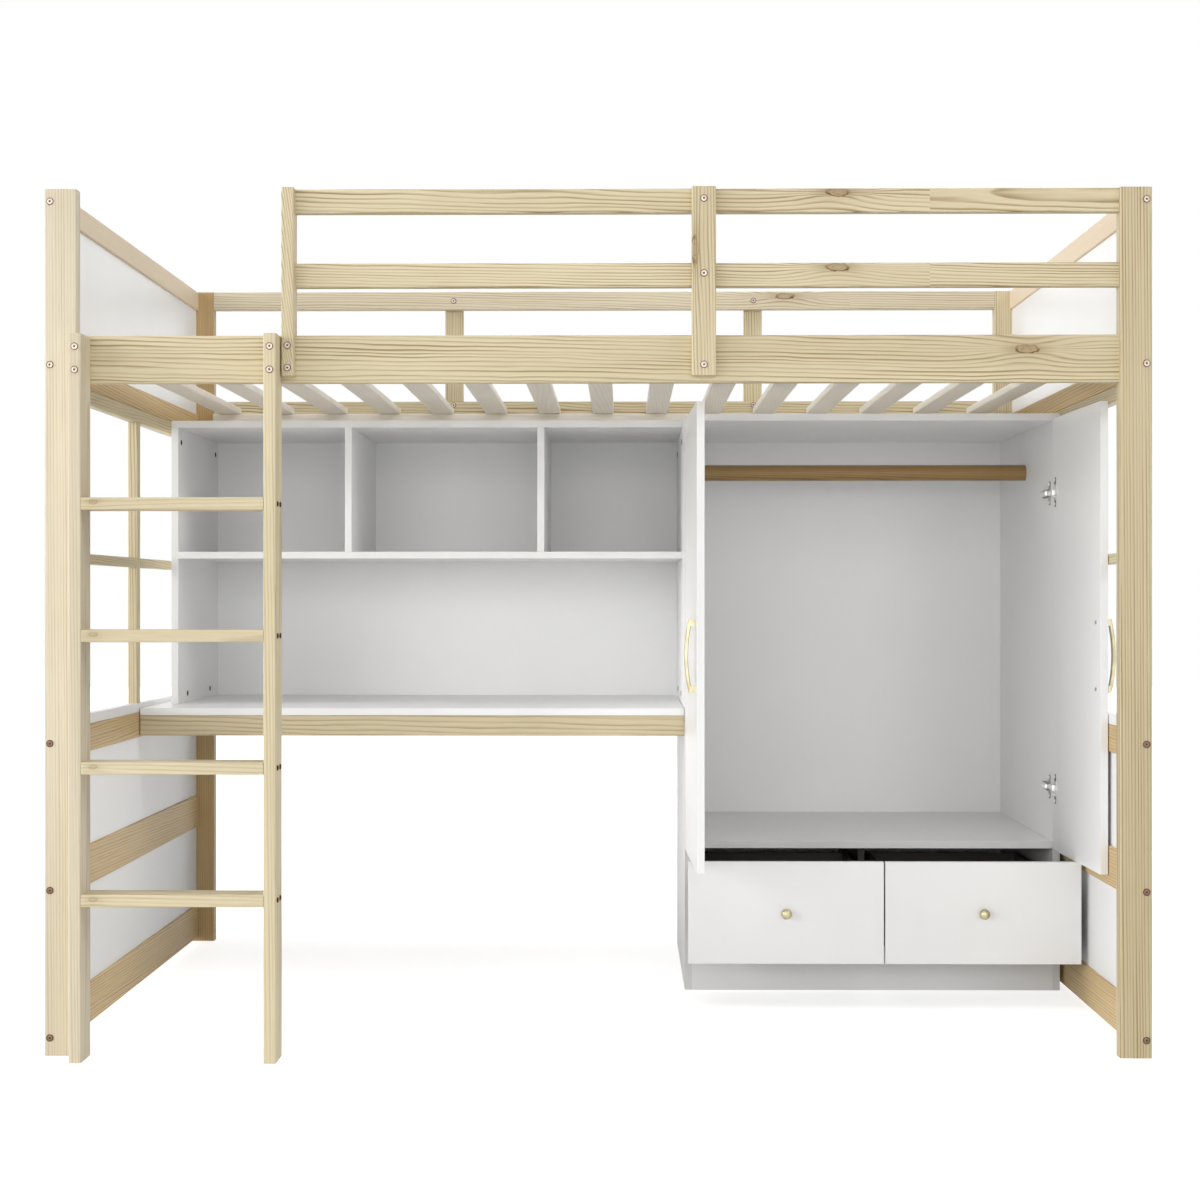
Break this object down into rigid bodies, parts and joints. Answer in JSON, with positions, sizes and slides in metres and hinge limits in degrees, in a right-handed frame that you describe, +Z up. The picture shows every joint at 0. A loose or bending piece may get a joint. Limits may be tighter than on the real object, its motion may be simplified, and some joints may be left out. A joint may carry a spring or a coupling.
{
  "type": "loft bed",
  "caption": "Low pine loft bed with slatted base and guard rails, front ladder, desk with hutch, and a white wardrobe with hinged doors and drawers beneath.",
  "frame": {"origin": "on the floor, under the middle of the object's box", "axes": "+X along the bed from the ladder end to the wardrobe end, +Y from the ladder side to the back, +Z up"},
  "size_m": [1.981, 1.3474, 1.552],
  "materials": {
    "pine": "clear satin lacquer",
    "white_board": "white melamine, satin",
    "slat_wood": "cream white, matt",
    "rod_wood": "oiled",
    "brass": "satin champagne brass",
    "chrome": "nickel plated",
    "runner_steel": "white powder coat",
    "bolt_steel": "bronze plated",
    "brown_steel": "brown"
  },
  "bodies": {
    "frame": {"back_guard_posts": "pine", "back_guard_rail": "pine", "bed_slats": "slat_wood", "desk_rails": "pine", "desk_top": "white_board", "drawer_runners": "runner_steel", "end_bed_rail_left": "pine", "end_bed_rail_right": "pine", "end_lower_panels_left": "white_board", "end_lower_panels_right": "white_board", "end_lower_rails_left": "pine", "end_lower_rails_right": "pine", "end_top_rail_left": "pine", "end_top_rail_right": "pine", "end_upper_panel_left": "white_board", "end_upper_panel_right": "white_board", "frame_bolts": "bolt_steel", "guard_post_left": "pine", "guard_post_middle": "pine", "guard_rails": "pine", "hinge_arms": "chrome", "hutch_back": "white_board", "hutch_dividers": "white_board", "hutch_shelf": "white_board", "hutch_side": "white_board", "hutch_top": "white_board", "ladder_leg_left": "pine", "ladder_leg_right": "pine", "ladder_rungs": "pine", "post_back_left": "pine", "post_back_right": "pine", "post_front_left": "pine", "post_front_right": "pine", "screws_and_caps": "brown_steel", "side_rail_back": "pine", "side_rail_front": "pine", "slat_ledgers": "slat_wood", "wardrobe_back": "white_board", "wardrobe_base": "white_board", "wardrobe_rod": "rod_wood", "wardrobe_shelf": "white_board", "wardrobe_side_left": "white_board", "wardrobe_side_right": "white_board", "wardrobe_top": "white_board", "window_frame_left": "pine", "window_frame_right": "pine", "window_sill_left": "white_board", "window_sill_right": "white_board"},
    "door_left": {"door_left": "white_board", "door_handle_left": "brass", "hinge_cups_left": "chrome"},
    "door_right": {"door_right": "white_board", "door_handle_right": "brass", "hinge_cups_right": "chrome"},
    "drawer_left": {"drawer_front_left": "white_board", "drawer_box_left": "white_board", "drawer_knob_left": "brass"},
    "drawer_right": {"drawer_front_right": "white_board", "drawer_box_right": "white_board", "drawer_knob_right": "brass"}
  },
  "joints": [
    {"name": "door_left_hinge", "type": "hinge", "parent": "frame", "child": "door_left", "pos_m": [0.182, 0.01345, 0.7445], "axis": [0, 0, -1], "range_deg": [-88.5, 6.5]},
    {"name": "door_right_hinge", "type": "hinge", "parent": "frame", "child": "door_right", "pos_m": [0.954, 0.01345, 0.7445], "axis": [0, 0, 1], "range_deg": [-91.3, 0]},
    {"name": "drawer_left_slide", "type": "slide", "parent": "frame", "child": "drawer_left", "axis": [0, -1, 0], "range_m": [-0.19, 0.13]},
    {"name": "drawer_right_slide", "type": "slide", "parent": "frame", "child": "drawer_right", "axis": [0, -1, 0], "range_m": [-0.19, 0.13]}
  ]
}
